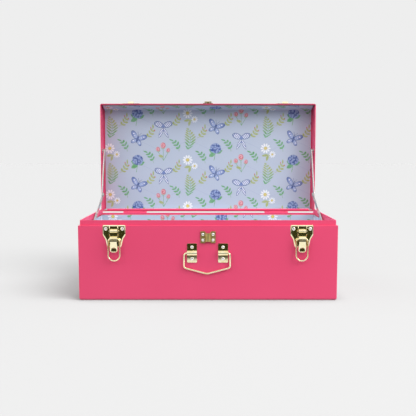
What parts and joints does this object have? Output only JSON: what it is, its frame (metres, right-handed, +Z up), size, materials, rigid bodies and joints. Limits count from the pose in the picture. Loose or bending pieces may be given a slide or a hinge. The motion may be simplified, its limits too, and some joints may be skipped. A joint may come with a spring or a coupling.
{
  "type": "storage trunk",
  "caption": "Painted steel keepsake trunk with an open hinged lid on folding stays, draw latches, padlock saddles, a bail handle and a printed card lining.",
  "frame": {"origin": "centre of the flat underside, where the trunk stands", "axes": "+X to the right along the front, +Y from the front to the hinges, +Z up"},
  "size_m": [0.45, 0.2821, 0.3651],
  "materials": {
    "pink_paint": "satin enamel on sheet steel",
    "lining_card": "printed paper on card",
    "brass": "polished brass-plated pressings",
    "rivet_steel": "bright domed rivets",
    "stay_steel": "zinc-plated strip"
  },
  "bodies": {
    "trunk": {"body_wrap": "pink_paint", "body_end_left": "pink_paint", "body_end_right": "pink_paint", "body_collar": "pink_paint", "body_lining": "lining_card", "body_end_lining_left": "lining_card", "body_end_lining_right": "lining_card", "saddle_body": "brass", "saddle_body_rivets": "rivet_steel", "handle_bracket_left": "brass", "handle_bracket_right": "brass", "handle_rivets": "rivet_steel", "hinge_left_body_leaf": "pink_paint", "hinge_left_pin": "stay_steel", "hinge_left_body_rivets": "pink_paint", "latch_left_plate": "brass", "latch_left_pin": "brass", "latch_left_rivets": "rivet_steel", "stay_left_body_stud": "stay_steel", "hinge_right_body_leaf": "pink_paint", "hinge_right_pin": "stay_steel", "hinge_right_body_rivets": "pink_paint", "latch_right_plate": "brass", "latch_right_pin": "brass", "latch_right_rivets": "rivet_steel", "stay_right_body_stud": "stay_steel"},
    "lid": {"lid_wrap": "pink_paint", "lid_end_left": "pink_paint", "lid_end_right": "pink_paint", "lid_lining": "lining_card", "saddle_lid": "brass", "saddle_lid_rivets": "rivet_steel", "hinge_left_lid_leaf": "pink_paint", "hinge_left_lid_rivets": "pink_paint", "keeper_left": "brass", "keeper_left_rivets": "rivet_steel", "stay_left_lid_stud": "stay_steel", "hinge_right_lid_leaf": "pink_paint", "hinge_right_lid_rivets": "pink_paint", "keeper_right": "brass", "keeper_right_rivets": "rivet_steel", "stay_right_lid_stud": "stay_steel"},
    "bail": {"handle_bail": "brass"},
    "lever_left": {"latch_left_lever": "brass"},
    "loop_left": {"latch_left_loop": "brass"},
    "stay_left_upper_bar": {"stay_left_upper": "stay_steel", "stay_left_elbow_rivet": "stay_steel"},
    "stay_left_lower_bar": {"stay_left_lower": "stay_steel"},
    "lever_right": {"latch_right_lever": "brass"},
    "loop_right": {"latch_right_loop": "brass"},
    "stay_right_upper_bar": {"stay_right_upper": "stay_steel", "stay_right_elbow_rivet": "stay_steel"},
    "stay_right_lower_bar": {"stay_right_lower": "stay_steel"}
  },
  "joints": [
    {"name": "lid_hinge", "type": "hinge", "parent": "trunk", "child": "lid", "pos_m": [0, 0.1154, 0.131], "axis": [1, 0, 0], "range_deg": [0, 91.1]},
    {"name": "bail_pivot", "type": "hinge", "parent": "trunk", "child": "bail", "pos_m": [0, -0.1149, 0.0837], "axis": [-1, 0, 0], "range_deg": [0, 160]},
    {"name": "lever_left_pivot", "type": "hinge", "parent": "trunk", "child": "lever_left", "pos_m": [-0.162, -0.1175, 0.1223], "axis": [-1, 0, 0], "range_deg": [0, 100]},
    {"name": "loop_left_pivot", "type": "hinge", "parent": "lever_left", "child": "loop_left", "pos_m": [-0.162, -0.1175, 0.1084], "axis": [1, 0, 0], "range_deg": [-183.5, 0]},
    {"name": "stay_left_upper_pivot", "type": "hinge", "parent": "lid", "child": "stay_left_upper_bar", "pos_m": [-0.219, 0.13241, 0.2617], "axis": [1, 0, 0], "range_deg": [0, 16.26]},
    {"name": "stay_left_lower_pivot", "type": "hinge", "parent": "trunk", "child": "stay_left_lower_bar", "pos_m": [-0.219, -0.0043, 0.125], "axis": [1, 0, 0], "range_deg": [-18.23, 0]},
    {"name": "lever_right_pivot", "type": "hinge", "parent": "trunk", "child": "lever_right", "pos_m": [0.162, -0.1175, 0.1223], "axis": [-1, 0, 0], "range_deg": [0, 100]},
    {"name": "loop_right_pivot", "type": "hinge", "parent": "lever_right", "child": "loop_right", "pos_m": [0.162, -0.1175, 0.1084], "axis": [1, 0, 0], "range_deg": [-183.5, 0]},
    {"name": "stay_right_upper_pivot", "type": "hinge", "parent": "lid", "child": "stay_right_upper_bar", "pos_m": [0.219, 0.13241, 0.2617], "axis": [1, 0, 0], "range_deg": [0, 16.26]},
    {"name": "stay_right_lower_pivot", "type": "hinge", "parent": "trunk", "child": "stay_right_lower_bar", "pos_m": [0.219, -0.0043, 0.125], "axis": [1, 0, 0], "range_deg": [-18.23, 0]}
  ],
  "couplings": [
    {"joint": "stay_left_upper_pivot", "follows": "lid_hinge", "ratio": 0.1774},
    {"joint": "stay_left_lower_pivot", "follows": "lid_hinge", "ratio": -0.199},
    {"joint": "stay_right_upper_pivot", "follows": "lid_hinge", "ratio": 0.1774},
    {"joint": "stay_right_lower_pivot", "follows": "lid_hinge", "ratio": -0.199}
  ]
}
